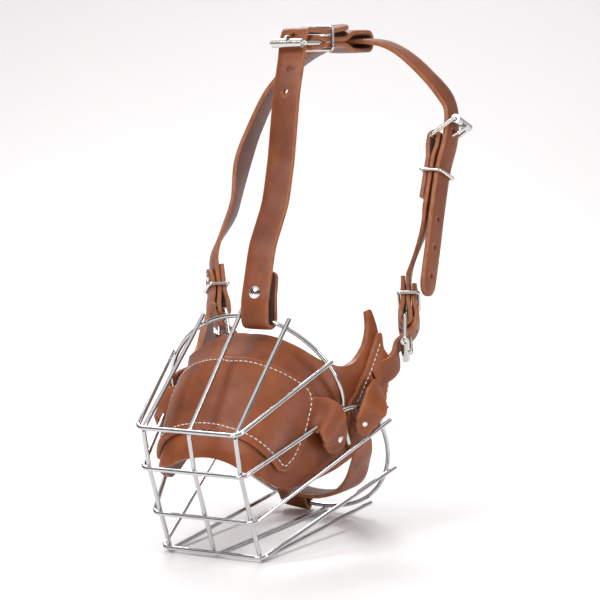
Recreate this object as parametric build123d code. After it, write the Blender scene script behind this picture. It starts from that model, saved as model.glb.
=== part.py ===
"""Wire basket muzzle for a large dog, with a leather saddle and a buckled head harness.

Frame: +Z up, nose toward -Y, the dog's left toward +X, millimetres. The origin is on the
resting plane, below the middle of the rim wire at the foot of the nose end.
"""
from build123d import *
import os
from math import cos, radians, sin

# ---- driving dimensions ----
WIRE_R = 1.5                 # chromed basket wire, 3 mm
CROSSING = 2.85              # centre distance of two wires welded where they cross
NOSE_HALF = 38.0             # half width of the nose end, at the corners of the rim wires
RIB_HALF = 34.5              # the two outer top wires, inside those corners
STRAP_W = 20.0               # harness strap width
STRAP_T = 3.2                # harness strap thickness
TIE_T = 3.0                  # thickness of the ears and loops that hold the saddle to the wires
GAP = 0.4                    # clearance between pieces that move on each other
RIVET_R = 4.3                # rivet cap radius
SMALL_RIVET_R = 3.6          # rivets of the cheeks, the neck and the ties
SHANK_R = 1.6
HOLE_R = 2.0                 # punched strap hole

# buckle: a rectangle of wire, with a roller on one end bar and the strap folded round the other
BAR_R = 1.4
FRAME_HALF = 13.2            # centre of a side bar
FRAME_LEN = 20.0             # roller bar to heel bar
ROLLER_R = 3.0
ROLLER_HALF = 11.2
PRONG_R = 1.1
KEEPER_R = 1.2

# harness pivots and buckles
STRAP_X = 12.0               # the centre strap stands beside the middle top wire
HOOP_PIVOT = Vector(STRAP_X, 46.1, 152.3)
TOP_HEEL = Vector(STRAP_X, 111.0, 331.0)
NECK_TOP = Vector(STRAP_X, 181.0, 331.0)     # where the neck strap passes through the connector
CHEEK_PIVOT = Vector(77.0, 138.0, 133.0)     # prong hole of the left cheek buckle
LEFT_CHEEK = (25.0, 50.0)    # turn about the vertical and slope of each cheek buckle, degrees
RIGHT_CHEEK = (45.0, 68.0)
SPARE_HOLES = (0.05, 0.7)    # along the centre strap's straight run below the buckle
HOLE_FROM_HEEL = 7.0         # prong hole, back from the heel bar along the buckle
HOLE_RISE = 3.5              # and out from the frame's middle plane

os.makedirs("parts", exist_ok=True)
PIECES = {}


def keep(name, shape):
    """Name a finished piece and keep it for export."""
    shape.label = name
    PIECES[name] = shape
    return shape


# ---- helpers ----
def bent_wire(points, bends, radius=WIRE_R):
    """A round wire through the points, with a bend radius at each inner point."""
    path = FilletPolyline(*points, radius=bends) if len(points) > 2 else Line(*points)
    return round_bar(path, radius)


def round_bar(path, radius):
    """A round bar of the given radius along a smooth path."""
    start = Plane(origin=path @ 0, z_dir=path % 0)
    return sweep(start * Circle(radius), path=path)


def both_sides(points):
    """A run of points from the left end to the right end, mirrored about the middle."""
    return [(-x, y, z) for x, y, z in points] + list(reversed(points))


def strip(stations, thickness=STRAP_T):
    """A flat leather strip, ruled between stations of (centre, across, out, width)."""
    sections = []
    for centre, across, out, width in stations:
        side = across.normalized() * (width / 2)
        face = out.normalized() * (thickness / 2)
        corners = [centre - side - face, centre + side - face, centre + side + face, centre - side + face]
        sections.append(Wire.make_polygon(corners, close=True))
    return Solid.make_loft(sections, ruled=True)


def bend(points, bends, plane, width=STRAP_W):
    """Stations of a strip that bends in one plane: points are (along, out) in that plane."""
    path = FilletPolyline(*points, radius=bends) if len(points) > 2 else Polyline(*points)
    spots = []
    for edge in path.edges():
        steps = 1 if edge.geom_type == GeomType.LINE else 5
        spots += [(edge @ (i / steps), edge % (i / steps)) for i in range(steps)]
    spots.append((path @ 1, path % 1))
    across = plane.z_dir
    stations = []
    for spot, heading in spots:
        along = plane.x_dir * heading.X + plane.y_dir * heading.Y
        stations.append((plane.from_local_coords(spot), across, across.cross(along), width))
    return stations


def tip(stations, width=STRAP_W):
    """The same stations with the last one narrowed into a rounded tip."""
    centre, across, out, full = stations[-1]
    run = (centre - stations[-2][0]).normalized()
    ends = [(0.4, 1.0), (0.15, 0.8), (0.0, 0.4)]
    return stations[:-1] + [(centre - run * width * back, across, out, width * share) for back, share in ends]


def turning(points, outs, spans=4, width=STRAP_W):
    """Stations of a strap that turns in space: a smooth line, its face turned to each point's out."""
    path = Spline(*points)
    marks = [path.param_at_point(point) for point in points]
    stations = []
    for i in range(len(points) - 1):
        for step in range(spans):
            share = step / spans
            t = marks[i] + (marks[i + 1] - marks[i]) * share
            out = outs[i] * (1 - share) + outs[i + 1] * share
            across = (path % t).cross(out)
            stations.append((path @ t, across, across.cross(path % t), width))
    across = (path % 1).cross(outs[-1])
    stations.append((path @ 1, across, across.cross(path % 1), width))
    return stations


def rivet(plane, length, radius=RIVET_R, dome_share=0.35):
    """A rivet with a low domed cap at each end of its shank, along the plane's normal."""
    rise = radius * dome_share
    ball_r = (radius ** 2 + rise ** 2) / (2 * rise)
    dome = Pos(0, 0, length / 2 - ball_r + rise) * Sphere(ball_r)
    dome &= Pos(0, 0, length / 2 + rise) * Box(4 * radius, 4 * radius, 2 * rise)
    return plane * (Cylinder(SHANK_R, length + 0.2) + dome + mirror(dome, about=Plane.XY))


def fasten(name, rivets, through):
    """Keep the rivets as one node, and cut their own shape out of each piece they go through."""
    for piece in through:
        shape = PIECES[piece]
        for one in rivets:
            shape = shape - one
        keep(piece, shape)
    keep(name, Compound(children=rivets) if len(rivets) > 1 else rivets[0])


# ---- basket wires ----
# Each rim wire is a U: across the nose and back along both sides. All are listed at their
# right-hand corner and end; the hoops stand inside them and the ribs inside the nose.
UPPER_LEAN = -0.273          # the upper hoop's plane: y = 87.7 - 0.273 z
LOWER_LEAN = -0.70           # the lower hoop's plane: y = 153.5 - 0.70 z
RIM_CORNERS = [(-27.0, 88.0), (-22.0, 60.5), (-10.0, 28.5), (-0.4, 3.6)]   # y, z of each rim
CORNER_BEND = 6.0
UPPER_HOOP = [(0, 158.9), (58.8, 127.2), (64.8, 100.0), (64.9, 70.5)]  # x and distance up its plane
LOWER_HOOP = [(0, 5.4), (42.0, 21.5), (73.0, 88.0), (76.0, 114.0)]


def hoop_plane(base, lean):
    """The plane y = base + lean * z, with local x across and local y up the hoop."""
    return Plane(origin=(0, base, 0), x_dir=(1, 0, 0), z_dir=(0, -1, lean))


def hoop(plane, half_run, radius=WIRE_R):
    """A mirrored hoop from its right half: the middle point, then tangent arcs to the open end."""
    arcs = []
    for side in (1, -1):
        heading = Vector(side, 0)
        for start, end in zip(half_run[:-1], half_run[1:]):
            arc = TangentArc((side * start[0], start[1]), (side * end[0], end[1]), tangent=heading)
            heading = arc % 1
            arcs.append(plane * arc)
    return round_bar(Wire(arcs), radius)


def make_basket():
    rims = {
        "nose_rim_wire": [(61.5, 54.0, 124.8), (NOSE_HALF, *RIM_CORNERS[0])],
        "upper_side_wire": [(82.5, 91.0, 90.0), (68.0, 62.0, 94.0), (NOSE_HALF, *RIM_CORNERS[1])],
        "lower_side_wire": [(80.0, 100.0, 80.0), (NOSE_HALF, *RIM_CORNERS[2])],
        "bottom_rim_wire": [(70.5, 124.5, 42.5), (NOSE_HALF, *RIM_CORNERS[3])],
    }
    for name, right in rims.items():
        bends = [26.0] * (len(right) - 2) + [CORNER_BEND]
        keep(name, bent_wire(both_sides(right), bends + list(reversed(bends))))

    def rib(x_top, end_top, x_front, x_end, end_low):
        """A rib: down the top, behind the nose rims, and back along the bottom."""
        brow = (x_front, RIM_CORNERS[0][0] + 2.2, RIM_CORNERS[0][1] - 1.0)
        front = [(x_front, y + CROSSING, z) for y, z in RIM_CORNERS[1:3]]
        foot = (x_front, 3.4, WIRE_R)
        points = [(x_top, *end_top), brow, *front, foot, (x_end, *end_low)]
        return bent_wire(points, [7.0, 30.0, 30.0, 5.0])

    keep("top_wire_middle", rib(0, (46.2, 159.3), 0, 0, (154.5, WIRE_R)))
    keep("top_wire_left", rib(33.0, (49.0, 152.0), RIB_HALF, 39.0, (147.5, 10.3)))
    keep("top_wire_right", rib(-33.0, (49.0, 152.0), -RIB_HALF, -39.0, (147.5, 10.3)))

    keep("upper_hoop", hoop(hoop_plane(87.7, UPPER_LEAN), UPPER_HOOP))
    keep("lower_hoop", hoop(hoop_plane(153.5, LOWER_LEAN), LOWER_HOOP))


# ---- leather on the basket ----
SHELL_T = 4.0
PATCH_T = 4.0
# The saddle's outer surface: at each y, the height of its crown, its half width, and the
# height at which its straight sides begin.
SADDLE = [(-7, 64, 36.5, 44), (-2, 81, 39.5, 52), (10, 97.5, 43.3, 60), (30, 122.6, 49.8, 72),
          (56, 142, 57.4, 85), (85, 185, 63.5, 125), (120, 200, 69.5, 130)]
SIDE_FOOT = 30.0


def arch(y, crown, half, spring, inset):
    """One side-to-side line of the saddle, inset from its outer surface."""
    top = crown - inset
    wide = half - inset
    shoulder = spring + (top - spring) * 0.72
    return [(-wide, y, SIDE_FOOT), (-wide, y, spring), (-wide * 0.72, y, shoulder), (0, y, top),
            (wide * 0.72, y, shoulder), (wide, y, spring), (wide, y, SIDE_FOOT)]


def shell(outer, inner):
    """The saddle's curved sheet between two insets from its outer surface."""
    sections = []
    for y, crown, half, spring in SADDLE:
        over = Spline(*arch(y, crown, half, spring, outer))
        under = Spline(*arch(y, crown, half, spring, inner))
        sections.append(Wire([over, Line(over @ 1, under @ 1), under, Line(under @ 0, over @ 0)]))
    return Solid.make_loft(sections, ruled=True)


def side_cut(outline, reach=120.0):
    """A block with the given side outline (y, z), standing across the whole muzzle."""
    face = Plane.YZ * make_face(Polyline(*outline, close=True))
    return extrude(face, amount=reach, both=True)


def make_saddle():
    lining = [(-12, 62), (-6, 60), (4, 52), (17, 46), (38, 47), (62, 52), (75, 57), (106, 74), (111, 92), (113, 112),
              (110, 128), (107.5, 152), (103.5, 152), (100, 141), (94, 129), (84, 121), (73, 118.5), (62, 121.5),
              (55, 145), (55, 170), (-12, 170)]
    keep("saddle_lining", shell(0, SHELL_T) & side_cut(lining))
    patch = [(-0.5, 82), (5.0, 70.0), (13.0, 58.5), (18.0, 57.5), (24, 62), (34, 78), (44, 98), (46, 108), (33, 127),
             (33, 170), (-0.5, 170)]
    keep("nose_patch", shell(-PATCH_T, -0.2) & side_cut(patch))
    wing = [(73, 59.5), (84, 63), (106, 75), (112, 92), (116, 106), (117, 119), (109.5, 127), (108.5, 138),
            (103, 133), (92, 116), (80, 100), (73, 94)]
    wings = shell(-0.2 - STRAP_T, -0.2) & side_cut(wing)
    wings -= hoop(hoop_plane(153.5, LOWER_LEAN), LOWER_HOOP, WIRE_R + 0.1)
    wings -= hoop(hoop_plane(87.7, UPPER_LEAN), UPPER_HOOP, WIRE_R + 0.1)
    left, right = sorted(wings.solids(), key=lambda s: -s.center().X)
    keep("cheek_wing_left", left)
    keep("cheek_wing_right", right)


# ---- buckles ----
def buckle_planes(heel, along, out):
    """Two frames on a heel bar: one flat in the buckle, one in which its strap bends."""
    across = along.cross(out)
    return Plane(origin=heel, x_dir=across, z_dir=out), Plane(origin=heel, x_dir=along, z_dir=across)


def make_buckle(name, plane):
    """Frame, roller and prong: heel bar on the plane's x axis, roller a frame length toward -y."""
    corner = BAR_R * 1.3
    half = FRAME_HALF
    far = -FRAME_LEN
    path = FilletPolyline((half, 0), (half, far), (-half, far), (-half, 0), radius=corner, close=True)
    keep(name + "_frame", plane * round_bar(path, BAR_R))
    tube = Cylinder(ROLLER_R, 2 * ROLLER_HALF) - Cylinder(BAR_R + 0.06, 3 * ROLLER_HALF)
    keep(name + "_roller", plane * Pos(0, far, 0) * Rot(0, 90, 0) * tube)
    ring_r = BAR_R + 0.08 + PRONG_R
    ring = Rot(0, 90, 0) * Torus(ring_r, PRONG_R)
    rest = ROLLER_R + PRONG_R + 0.3
    blade = bent_wire([(0, -1.0, ring_r), (0, -9.0, ring_r + 0.4), (0, far, rest), (0, far - 3.2, rest - 1.0)],
                      [8.0, 6.0], PRONG_R)
    keep(name + "_prong", plane * (ring + blade))


def make_keeper(name, plane, along, low, high, half=STRAP_W / 2):
    """A wire loop round the strap's layers, from low to high out of the plane, at a place along it."""
    x = half + GAP + KEEPER_R
    base = low - GAP - KEEPER_R
    top = high + GAP + KEEPER_R
    path = FilletPolyline((x, base), (x, top), (-x, top), (-x, base), radius=1.8, close=True)
    stand = Plane(origin=plane.from_local_coords((0, along, 0)), x_dir=plane.x_dir, z_dir=-plane.y_dir)
    keep(name, stand * round_bar(path, KEEPER_R))


FOLD_R = BAR_R + GAP + STRAP_T / 2           # the leather's middle where it folds round a heel bar
LAYER = (STRAP_T + GAP) / 2                  # the middle of either folded layer, from between them
OVER = LAYER + STRAP_T + GAP                 # the middle of a tail that lies on the outer layer
OVER_HEEL = FOLD_R + STRAP_T + GAP + 0.7
FOLD_BENDS = [12.0, 6.0, FOLD_R - 0.05, FOLD_R - 0.05, 6.0, 12.0]


def fold(end, reach):
    """(along, out) points of a strap folded round a heel bar: inner layer end, bar, outer layer."""
    near = -FOLD_R
    inner = [(end, -LAYER), (14.0, -LAYER), (6.0, -FOLD_R), (near, -FOLD_R)]
    return inner + [(along, -out) for along, out in reversed(inner[1:])] + [(reach, LAYER)]


def prong_slot(plane):
    """The slot that a folded strap has for the prong's ring."""
    return plane * Pos(0, 0, 0) * Box(4.4, 16.0, 12.0)


def make_cheek(side, turn, slope):
    """One cheek: billet, buckle, tail and keeper. Returns the plane in which the strap bends."""
    word = "left" if side > 0 else "right"
    a, e = radians(turn), radians(slope)
    out = Vector(cos(a), sin(a), 0) * side
    back = Vector(-sin(a), cos(a), 0)
    along = back * cos(e) + Vector(0, 0, sin(e))
    pivot = Vector(side * CHEEK_PIVOT.X, CHEEK_PIVOT.Y, CHEEK_PIVOT.Z)
    heel = pivot + along * HOLE_FROM_HEEL - out * HOLE_RISE
    flat, side_on = buckle_planes(heel, along, out)
    make_buckle("cheek_buckle_" + word, flat)

    under = -(ROLLER_R + GAP + STRAP_T / 2 + 1.4)
    start = Vector(side * 73.2, 120.6, 115.0)
    entry = side_on.from_local_coords((-FRAME_LEN - 5.0, under))
    passing = side_on.from_local_coords((-FRAME_LEN + 2.0, under + 0.2))
    end = side_on.from_local_coords((-HOLE_FROM_HEEL - 3.2, 1.3))
    faces = [Vector(side * 0.97, -0.25, 0), (out + Vector(side * 0.97, -0.25, 0)) * 0.5, out, out]
    billet = strip(turning([start, entry, passing, end], faces, 3, 17.5))
    keep("cheek_billet_" + word, billet - PIECES["cheek_wing_" + word])

    over = OVER + 0.4
    tail = bend([(-HOLE_FROM_HEEL + 3.4, OVER_HEEL - 1.6), (1.0, OVER_HEEL), (6.0, OVER_HEEL), (15.0, over),
                 (33.0, over)], [4.0, 6.0, 12.0], side_on)
    keep("cheek_tail_" + word, strip(tip(tail)))
    make_keeper("cheek_keeper_" + word, flat, 19.0, -LAYER - STRAP_T / 2, over + STRAP_T / 2)
    stud = Plane(origin=side_on.from_local_coords((27.0, (over - LAYER) / 2)), z_dir=out)
    return flat, side_on, out, rivet(stud, over + LAYER + STRAP_T, SMALL_RIVET_R)


def make_harness():
    """The neck strap in its two halves, the centre strap, the connector and their buckles."""
    flat_r, bend_r, out_r, rivet_r = make_cheek(-1, *RIGHT_CHEEK)
    flat_l, bend_l, out_l, rivet_l = make_cheek(1, *LEFT_CHEEK)
    neck_heel = Vector(78.0, 183.5, 262.0)
    down = Vector(-0.02, -0.34, -0.94).normalized()
    neck_out = (Vector(1, 0, 0) - down * down.X).normalized()
    neck_bend = Plane(origin=neck_heel, x_dir=down, z_dir=down.cross(neck_out))
    neck_flat = Plane(origin=neck_heel, x_dir=neck_bend.z_dir, z_dir=neck_out)

    def beside(along, out):
        """A place on the tail, along the short strap from the neck buckle's heel bar."""
        return neck_bend.from_local_coords((along, out))

    # long neck strap: right cheek, over the top through the connector, tail beside the left buckle
    rise = bend(fold(34.0, 36.0), FOLD_BENDS, bend_r)
    route = [rise[-1][0], Vector(-79.5, 168, 214), Vector(-77, 178, 247), Vector(-71, 187, 272),
             Vector(-57, 189, 297), Vector(-32, 185, 317), NECK_TOP, Vector(37, 184, 329), Vector(66, 189, 308),
             beside(-24, 4.5), beside(-3, OVER_HEEL + 0.6), beside(20, OVER + 1.2), beside(46, OVER + 1.6),
             beside(80, OVER + 3), beside(110, OVER + 4)]
    left, up = Vector(-1, 0, 0), Vector(0, 0, 1)
    facing = [out_r, Vector(-0.9, -0.3, 0), left, Vector(-0.9, 0, 0.3), Vector(-0.75, 0, 0.7), Vector(-0.4, 0, 1),
              up, Vector(0.3, 0, 1), Vector(0.8, 0, 0.6)] + [neck_out] * 6
    long_stations = rise[:-1] + turning(route, facing)
    long_strap = strip(tip(long_stations)) - prong_slot(flat_r)

    # short neck strap: left cheek fold, up to the fold round the neck buckle's heel bar
    lower = bend(fold(34.0, 36.0), FOLD_BENDS, bend_l)
    upper = bend(fold(43.0, 46.0), FOLD_BENDS, neck_bend)
    rise_to = [lower[-1][0], Vector(76.5, 165, 205), upper[-1][0]]
    between = turning(rise_to, [out_l, (out_l + neck_out) * 0.5, neck_out])
    top_part = [(centre, -across, out, width) for centre, across, out, width in reversed(upper)]
    short = strip(lower[:-1] + between[:-1] + top_part)
    keep("neck_strap_short", short - prong_slot(flat_l) - prong_slot(neck_flat))
    leaning = Plane(neck_flat * Rot(-50, 0, 0))
    make_buckle("neck_buckle", leaning)
    long_strap -= leaning * Pos(0, -8.0, 3.0) * Box(4.4, 20.0, 6.0)
    for along in (56.0, 76.0, 96.0):
        long_strap -= Plane(origin=beside(along, OVER), z_dir=neck_out) * Cylinder(HOLE_R, 6 * STRAP_T)
    keep("neck_strap_long", long_strap)
    make_keeper("neck_keeper", neck_flat, 24.0, -LAYER - STRAP_T / 2, OVER + STRAP_T / 2 + 1.6)

    fasten("cheek_rivet_left", [rivet_l], ["cheek_tail_left", "neck_strap_short"])
    fasten("cheek_rivet_right", [rivet_r], ["cheek_tail_right", "neck_strap_long"])
    studs = [Plane(origin=beside(along, 0), z_dir=neck_out) for along in (13.0, 38.0)]
    fasten("neck_rivets", [rivet(stud, 2 * LAYER + STRAP_T, 2.4, 0.28) for stud in studs], ["neck_strap_short"])


def make_centre_strap():
    """The strap from the hoop to the top buckle, and the connector that the buckle is on."""
    side_on = Plane(origin=(STRAP_X, 0, 0), x_dir=(0, 1, 0), z_dir=(1, 0, 0))
    flat, bend_top = buckle_planes(TOP_HEEL, Vector(0, 1, 0), Vector(0, 0, 1))
    make_buckle("top_buckle", flat)

    # looped round the upper hoop, then up to the buckle; points are (y, z)
    y, z = HOOP_PIVOT.Y, HOOP_PIVOT.Z
    loop = WIRE_R + 2.7 + STRAP_T / 2        # clears the wire, which slopes across the strap
    low = z - loop
    run = [(y + 9.0, 183.0), (y + loop, 165.0), (y + loop, low), (y - loop, low), (y - loop, 163.0), (52.0, 199.0),
           (70.5, 226.0), (79.0, 254.0), (88.0, 298.0), (95.5, 320.0), (98.0, 331.5)]
    bends = [12.0, loop - 0.1, loop - 0.1, 30.0, 40.0, 40.0, 60.0, 60.0, 10.0]
    strap = strip(bend(run, bends, side_on))
    foot, head = Vector(*run[-3]), Vector(*run[-2])
    rising = (head - foot).normalized()
    for share in SPARE_HOLES:
        spot = side_on.from_local_coords(foot * (1 - share) + head * share)
        through = Plane(origin=spot, x_dir=(1, 0, 0), z_dir=(0, -rising.Y, rising.X))
        strap -= through * Cylinder(HOLE_R, 3 * STRAP_T)
    keep("centre_strap", strap)
    stud = Plane(origin=(STRAP_X, y + 0.8, 168.5), x_dir=(1, 0, 0), z_dir=(0, -1, 0.18))
    fasten("centre_strap_rivet", [rivet(stud, 13.0)], ["centre_strap"])

    top_y, top_z = TOP_HEEL.Y, TOP_HEEL.Z
    tail = [(100.6, top_z + 6.0), (104.0, top_z + OVER_HEEL + 1.0), (116.0, top_z + OVER_HEEL + 0.6),
            (131.0, top_z + OVER + 1.6), (168.0, top_z + OVER + 5.2)]
    keep("centre_strap_tail", strip(tip(bend(tail, [5.0, 10.0, 14.0], side_on))))

    # the connector: folded round the heel bar, riveted, then opened into a loop round the neck strap
    far = NECK_TOP.Y - top_y + STRAP_W / 2 + 4.0
    open_half = 6.2
    near = far - STRAP_W - 8.0
    run = [(22.0, -LAYER), (6.0, -FOLD_R), (-FOLD_R, -FOLD_R), (-FOLD_R, FOLD_R), (6.0, FOLD_R), (14.0, LAYER),
           (near - 12.0, LAYER), (near, open_half), (far, open_half), (far, -open_half), (near, -open_half),
           (near - 12.0, -LAYER), (26.0, -LAYER)]
    bends = [10.0, FOLD_R - 0.05, FOLD_R - 0.05, 6.0, 10.0, 14.0, 14.0, open_half - 0.3, open_half - 0.3, 14.0, 14.0]
    keep("top_connector", strip(bend(run, bends, bend_top)) - prong_slot(flat))
    stud = Plane(origin=(STRAP_X, top_y + 30.0, top_z))
    fasten("connector_rivet", [rivet(stud, 2 * LAYER + STRAP_T, 2.4, 0.28)], ["top_connector"])
    make_keeper("top_keeper", flat, 21.0, -LAYER - STRAP_T / 2, OVER + STRAP_T / 2 + 1.8)


def make_throat():
    """The throat strap from wing to wing, and the loop that ties it to the lower hoop."""
    inside = hoop_plane(150.0, LOWER_LEAN)
    half_run = [(0, 18.0), (27.0, 27.5), (46.0, 54.0), (59.5, 91.0)]
    right = [inside.from_local_coords(p) for p in half_run]
    left = [Vector(-p.X, p.Y, p.Z) for p in right]
    route = list(reversed(left)) + right[1:]
    facing = [Vector(-1, 0, 0.2), Vector(-0.8, 0, -0.6), Vector(-0.35, 0, -0.9), Vector(0, 0, -1), Vector(0.35, 0, -0.9),
              Vector(0.8, 0, -0.6), Vector(1, 0, 0.2)]
    keep("throat_strap", strip(turning(route, facing, 4, 22.0), 2.8))
    # the loop round the lower hoop, beside the middle wire
    hold = Plane(origin=(-21.0, 148.3, 7.4), x_dir=(0, -0.57, 0.82), z_dir=(0.965, 0.19, -0.18))
    r = WIRE_R + 1.3 + 1.4
    run = [(13.5, 1.0 - r), (2.0, -r), (-r, -r), (-r, r), (2.0, r), (13.5, r - 1.0)]
    loop = strip(bend(run, [8.0, r - 0.1, r - 0.1, 8.0], hold), 2.8)
    keep("chin_loop", loop - PIECES["throat_strap"])


def make_wire_ties():
    """The riveted ears and loops that tie the saddle and the wings to the upper side wire."""
    ear = [(52.3, 32.2, 98.1), (62.7, 36.8, 94.8), (66.9, 45, 86), (63.5, 56.0, 74), (63.2, 57.5, 66)]
    ear_outs = [(0.75, -0.3, 0.6), (0.85, -0.3, 0.45), (0.97, -0.25, 0), (0.96, -0.2, -0.2), (0.97, -0.2, 0)]
    tab = [(73.2, 97, 106), (78.8, 76.8, 100.8), (80.5, 72.2, 90.4), (74.0, 76.5, 82), (71.8, 74.2, 78.0)]
    tab_outs = [(0.97, -0.2, 0.2), (0.9, -0.2, 0.4), (0.97, -0.2, 0), (0.95, -0.2, -0.3), (0.97, -0.2, 0)]
    ties = [("saddle_ear_", ear, ear_outs, 18.0, (59.6, 56.8, 74.6), 12.0),
            ("wing_loop_", tab, tab_outs, 14.0, (69.2, 74.8, 82.4), 12.0)]
    studs = []
    for side, word in ((1, "left"), (-1, "right")):
        def on(spot):
            return Vector(side * spot[0], spot[1], spot[2])

        for name, points, outs, width, middle, length in ties:
            stations = turning([on(p) for p in points], [on(o) for o in outs], 3, width)
            keep(name + word, strip(stations, TIE_T))
            studs.append(rivet(Plane(origin=on(middle), z_dir=on((0.97, -0.2, 0))), length, SMALL_RIVET_R))
    held = [name + word for name in ("saddle_ear_", "wing_loop_", "cheek_wing_") for word in ("left", "right")]
    fasten("saddle_rivets", studs, held + ["saddle_lining"])


if __name__ == "__main__":
    make_basket()
    make_saddle()
    make_harness()
    make_centre_strap()
    make_throat()
    make_wire_ties()
    for name, shape in PIECES.items():
        export_step(shape, "parts/" + name + ".step")
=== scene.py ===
from math import acos, atan2, cos, pi, radians, sin, sqrt

import bpy
from mathutils import Matrix, Vector
from mathutils.geometry import delaunay_2d_cdt


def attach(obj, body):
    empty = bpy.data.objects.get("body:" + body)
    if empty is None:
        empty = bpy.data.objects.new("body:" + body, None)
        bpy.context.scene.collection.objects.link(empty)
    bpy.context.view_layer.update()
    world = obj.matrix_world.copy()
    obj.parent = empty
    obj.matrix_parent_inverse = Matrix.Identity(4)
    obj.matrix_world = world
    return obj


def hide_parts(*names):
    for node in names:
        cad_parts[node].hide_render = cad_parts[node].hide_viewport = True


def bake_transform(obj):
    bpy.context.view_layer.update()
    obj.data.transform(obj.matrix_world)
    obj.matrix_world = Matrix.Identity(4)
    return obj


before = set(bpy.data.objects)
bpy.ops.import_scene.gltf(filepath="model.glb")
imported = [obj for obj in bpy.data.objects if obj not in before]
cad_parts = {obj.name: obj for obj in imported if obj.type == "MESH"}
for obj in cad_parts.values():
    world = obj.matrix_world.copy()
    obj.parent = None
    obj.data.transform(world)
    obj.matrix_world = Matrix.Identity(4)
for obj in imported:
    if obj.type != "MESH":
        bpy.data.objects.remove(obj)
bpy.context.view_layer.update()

MM = 0.001
X = Vector((1, 0, 0))
Z = Vector((0, 0, 1))

# ---- sizes, the same as the frame's ----
WIRE_R = 1.5
STRAP_W = 20.0
STRAP_T = 3.2
GAP = 0.4
BAR_R = 1.4
FRAME_LEN = 20.0
ROLLER_R = 3.0
STRAP_X = 12.0
HOOP_PIVOT = Vector((STRAP_X, 46.1, 152.3))
TOP_HEEL = Vector((STRAP_X, 111.0, 331.0))
NECK_TOP = Vector((STRAP_X, 181.0, 331.0))
NECK_HEEL = Vector((78.0, 183.5, 262.0))
CHEEK_PIVOT = Vector((77.0, 138.0, 133.0))
CHEEK_TURNS = {"left": (25.0, 50.0), "right": (45.0, 68.0)}
HOLE_FROM_HEEL = 7.0
HOLE_RISE = 3.5
FOLD_R = BAR_R + GAP + STRAP_T / 2
LAYER = (STRAP_T + GAP) / 2
OVER = LAYER + STRAP_T + GAP
OVER_HEEL = FOLD_R + STRAP_T + GAP + 0.7
FOLD_BENDS = [12.0, 6.0, FOLD_R - 0.05, FOLD_R - 0.05, 6.0, 12.0]


# ---- materials ----
class Surface:
    """A node material being put together."""

    def __init__(self, name):
        self.material = bpy.data.materials.new(name)
        self.material.use_nodes = True
        self.nodes = self.material.node_tree.nodes
        self.shader = self.nodes["Principled BSDF"]
        self.place = self.nodes.new("ShaderNodeTexCoord").outputs["Object"]

    def join(self, source, target):
        self.material.node_tree.links.new(source, target)

    def noise(self, scale, detail=3.0, rough=0.55, stretch=(1, 1, 1)):
        mapping = self.nodes.new("ShaderNodeMapping")
        mapping.inputs["Scale"].default_value = stretch
        self.join(self.place, mapping.inputs["Vector"])
        node = self.nodes.new("ShaderNodeTexNoise")
        node.inputs["Scale"].default_value = scale
        node.inputs["Detail"].default_value = detail
        node.inputs["Roughness"].default_value = rough
        self.join(mapping.outputs["Vector"], node.inputs["Vector"])
        return node.outputs["Fac"]

    def cells(self, scale):
        node = self.nodes.new("ShaderNodeTexVoronoi")
        node.feature = "SMOOTH_F1"
        node.inputs["Scale"].default_value = scale
        node.inputs["Smoothness"].default_value = 0.6
        self.join(self.place, node.inputs["Vector"])
        return node.outputs["Distance"]

    def ramp(self, source, stops):
        """Colours or greys at places along a 0 to 1 value."""
        node = self.nodes.new("ShaderNodeValToRGB")
        band = node.color_ramp
        while len(band.elements) < len(stops):
            band.elements.new(0.5)
        for element, (at, colour) in zip(band.elements, stops):
            element.position = at
            element.color = (*colour, 1.0) if isinstance(colour, tuple) else (colour, colour, colour, 1.0)
        self.join(source, node.inputs["Fac"])
        return node.outputs["Color"]

    def blend(self, kind, factor, first, second):
        node = self.nodes.new("ShaderNodeMix")
        node.data_type = "RGBA"
        node.blend_type = kind
        if isinstance(factor, float):
            node.inputs["Factor"].default_value = factor
        else:
            self.join(factor, node.inputs["Factor"])
        self.join(first, node.inputs["A"])
        self.join(second, node.inputs["B"])
        return node.outputs["Result"]

    def bump(self, layers):
        """Stacked bumps: (height, strength, distance in metres)."""
        normal = None
        for height, strength, distance in layers:
            node = self.nodes.new("ShaderNodeBump")
            node.inputs["Strength"].default_value = strength
            node.inputs["Distance"].default_value = distance
            self.join(height, node.inputs["Height"])
            if normal is not None:
                self.join(normal, node.inputs["Normal"])
            normal = node.outputs["Normal"]
        self.join(normal, self.shader.inputs["Normal"])


def make_leather(name, light, middle, dark, rough):
    """Smooth waxed harness leather: cloudy colour, fine pores, small creases and scuffs."""
    s = Surface(name)
    cloud = s.ramp(s.noise(28.0, 4.0, 0.6), [(0.3, dark), (0.5, middle), (0.72, light)])
    speck = s.ramp(s.noise(900.0, 3.0, 0.7), [(0.30, 0.78), (0.55, 1.0)])
    colour = s.blend("MULTIPLY", 0.55, cloud, speck)
    wear = s.ramp(s.nodes.new("ShaderNodeNewGeometry").outputs["Pointiness"], [(0.515, 0.0), (0.56, 0.8)])
    worn = s.ramp(s.noise(140.0), [(0.3, light), (0.7, tuple(min(1.0, c * 1.5) for c in light))])
    s.join(s.blend("MIX", wear, colour, worn), s.shader.inputs["Base Color"])
    s.join(s.ramp(s.noise(60.0), [(0.3, rough - 0.07), (0.7, rough + 0.10)]), s.shader.inputs["Roughness"])
    s.shader.inputs["Specular IOR Level"].default_value = 0.35
    s.bump([(s.noise(160.0, 4.0, 0.6), 0.35, 0.00035), (s.cells(1100.0), 0.30, 0.00010),
            (s.noise(3200.0, 2.0), 0.25, 0.00004)])
    return s.material


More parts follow.
